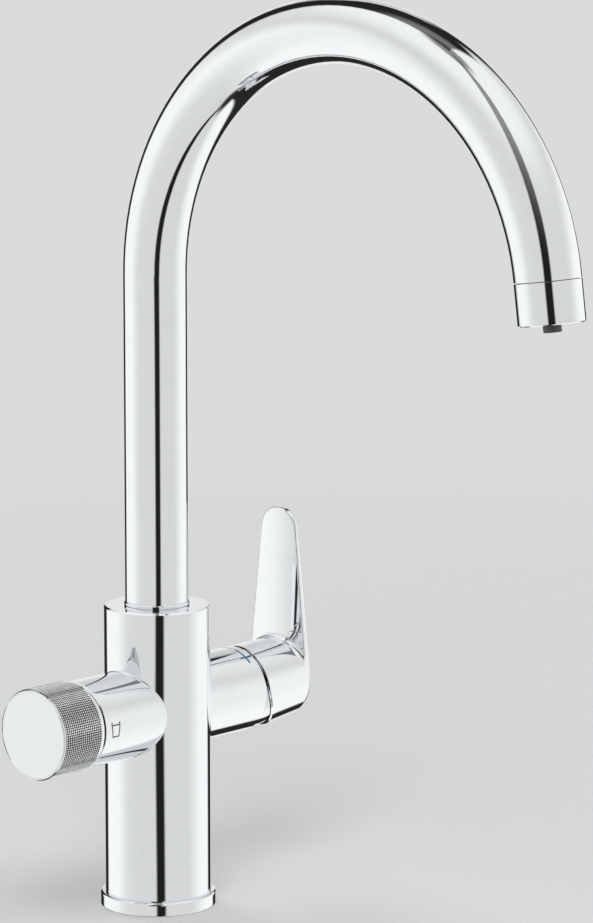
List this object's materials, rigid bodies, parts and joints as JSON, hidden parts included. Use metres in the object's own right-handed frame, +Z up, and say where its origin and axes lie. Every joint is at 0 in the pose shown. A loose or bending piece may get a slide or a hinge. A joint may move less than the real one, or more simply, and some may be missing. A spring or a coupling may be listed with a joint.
{
  "type": "water filter kitchen tap",
  "caption": "Deck-mounted kitchen tap with a swivelling gooseneck spout, a side mixer lever for hot and cold water, and a knurled side knob for filtered water from its own inner nozzle.",
  "frame": {"origin": "on the worktop surface, at the body's vertical axis", "axes": "+Z up, the spout reaches towards -Y, the filtered water knob is on -X and the mixer lever on +X"},
  "size_m": [0.1623, 0.2609, 0.4944],
  "materials": {
    "chrome": "polished",
    "satin_metal": "satin",
    "brass": "machined",
    "steel": "machined",
    "rubber": "matt",
    "white_plastic": "moulded",
    "grey_plastic": "moulded",
    "valve_ceramic": "lapped",
    "red_enamel": "gloss",
    "blue_enamel": "gloss",
    "grey_enamel": "gloss"
  },
  "bodies": {
    "base": {"body_column": "chrome", "hot_mark": "red_enamel", "cold_mark": "blue_enamel", "glass_mark": "grey_enamel", "base_ring": "chrome", "base_seal": "rubber", "mounting_stud": "steel", "clamp_gasket": "rubber", "clamp_plate": "steel", "clamp_nut": "steel", "spout_stop_screw": "steel", "filter_nipple": "brass", "nipple_seal": "rubber", "cartridge_seals": "rubber", "cartridge_base": "white_plastic", "cartridge_fixed_disc": "valve_ceramic", "cartridge_case": "white_plastic", "cartridge_nut": "brass", "dome_cover": "chrome", "headpart_seat_seal": "rubber", "headpart_fixed_disc": "valve_ceramic", "headpart_body": "brass", "knob_stop_ring": "white_plastic"},
    "spout": {"spout_tube": "chrome", "spout_foot": "brass", "spout_slide_rings": "white_plastic", "spout_seals": "rubber", "spout_collar": "chrome", "filter_fitting": "brass", "filter_tube": "white_plastic", "outlet_connector": "brass", "outlet_sleeve": "chrome", "aerator_seal": "rubber", "aerator_insert": "grey_plastic", "filter_nozzle": "grey_plastic"},
    "mixer_rotor": {"cartridge_rotor": "white_plastic", "rotor_pin": "steel"},
    "lever": {"lever_handle": "chrome", "lever_grub_screw": "steel", "lever_plug": "grey_plastic", "cartridge_stem": "steel"},
    "mixer_disc": {"cartridge_moving_disc": "valve_ceramic", "disc_carrier": "white_plastic"},
    "knob": {"knob_sleeve": "chrome", "knob_end_cap": "satin_metal", "knob_insert": "white_plastic", "knob_screw": "steel", "headpart_spindle": "brass", "headpart_moving_disc": "valve_ceramic", "spindle_seals": "rubber", "spindle_clip": "steel"}
  },
  "joints": [
    {"name": "spout_swivel", "type": "hinge", "parent": "base", "child": "spout", "pos_m": [0, 0, 0.12], "axis": [0, 0, 1], "range_deg": [-75, 75]},
    {"name": "knob_turn", "type": "hinge", "parent": "base", "child": "knob", "pos_m": [-0.06, 0, 0.0892], "axis": [-1, 0, 0], "range_deg": [0, 90]},
    {"name": "lever_temperature", "type": "hinge", "parent": "base", "child": "mixer_rotor", "pos_m": [0.058, 0, 0.0892], "axis": [1, 0, 0], "range_deg": [-45, 45]},
    {"name": "lever_tilt", "type": "hinge", "parent": "mixer_rotor", "child": "lever", "pos_m": [0.058, 0, 0.0892], "axis": [0, 1, 0], "range_deg": [0, 25]},
    {"name": "mixer_disc_slide", "type": "slide", "parent": "mixer_rotor", "child": "mixer_disc", "axis": [0, 0, 1], "range_m": [0, 0.0055]}
  ],
  "couplings": [
    {"joint": "mixer_disc_slide", "follows": "lever_tilt", "m_per_rad": 0.0125}
  ]
}
